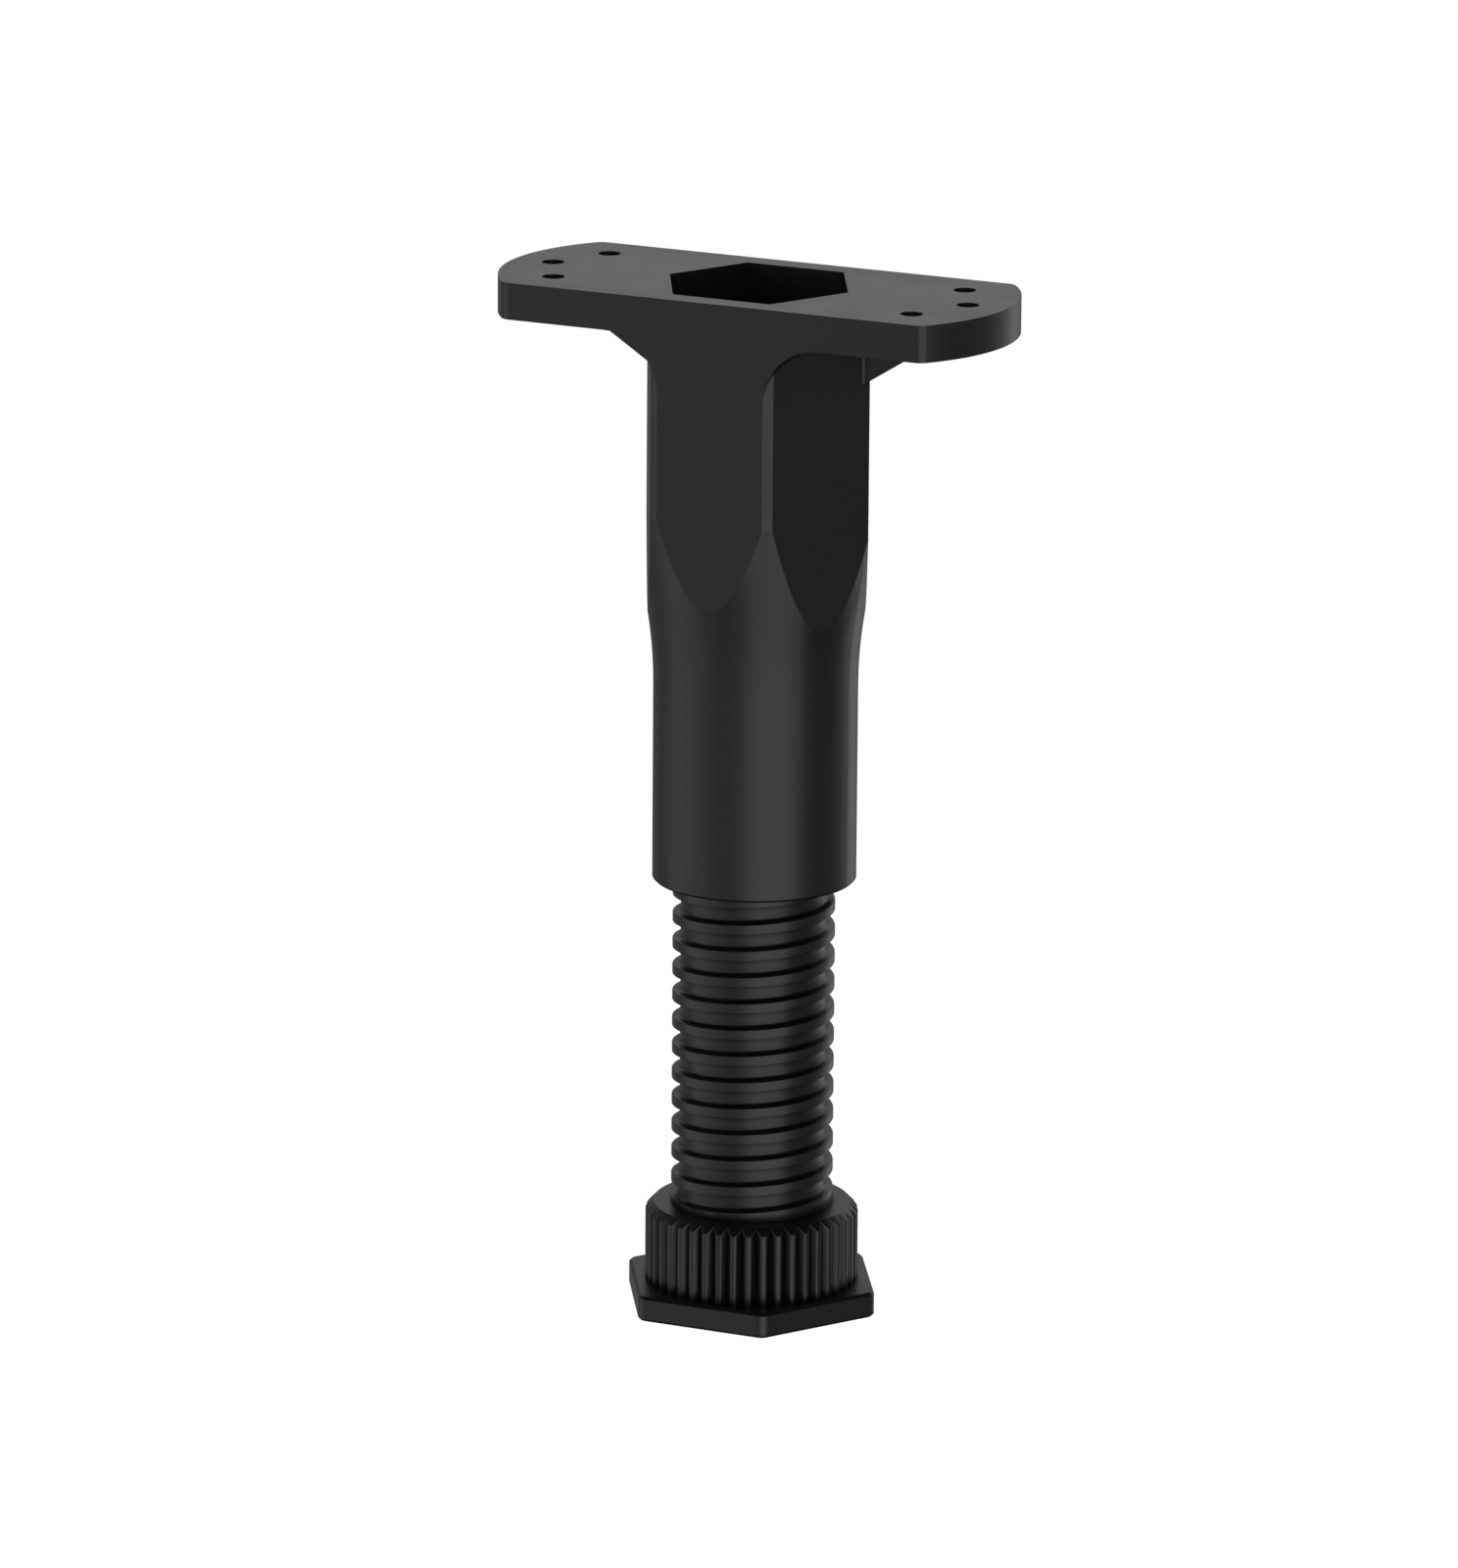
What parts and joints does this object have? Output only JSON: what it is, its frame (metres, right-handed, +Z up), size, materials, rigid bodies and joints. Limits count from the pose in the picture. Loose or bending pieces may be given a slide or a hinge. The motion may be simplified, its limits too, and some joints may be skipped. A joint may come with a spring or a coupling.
{
  "type": "adjustable bed support leg",
  "caption": "Black plastic bed support leg with a flanged hexagonal column that stands on a ribbed screw foot and adjusts in height.",
  "frame": {"origin": "middle of the foot's underside, on the floor", "axes": "+Z up along the screw axis, +X along the flange plate's length, +Y across it"},
  "size_m": [0.1184, 0.0526, 0.2316],
  "materials": {
    "leg_plastic": "satin black moulding",
    "foot_plastic": "satin black moulding"
  },
  "bodies": {
    "foot": {"screw_foot": "foot_plastic"},
    "leg": {"upper_leg": "leg_plastic"}
  },
  "joints": [
    {"name": "height_adjust", "type": "slide", "parent": "foot", "child": "leg", "axis": [0, 0, 1], "range_m": [-0.0739, 0.01]}
  ]
}
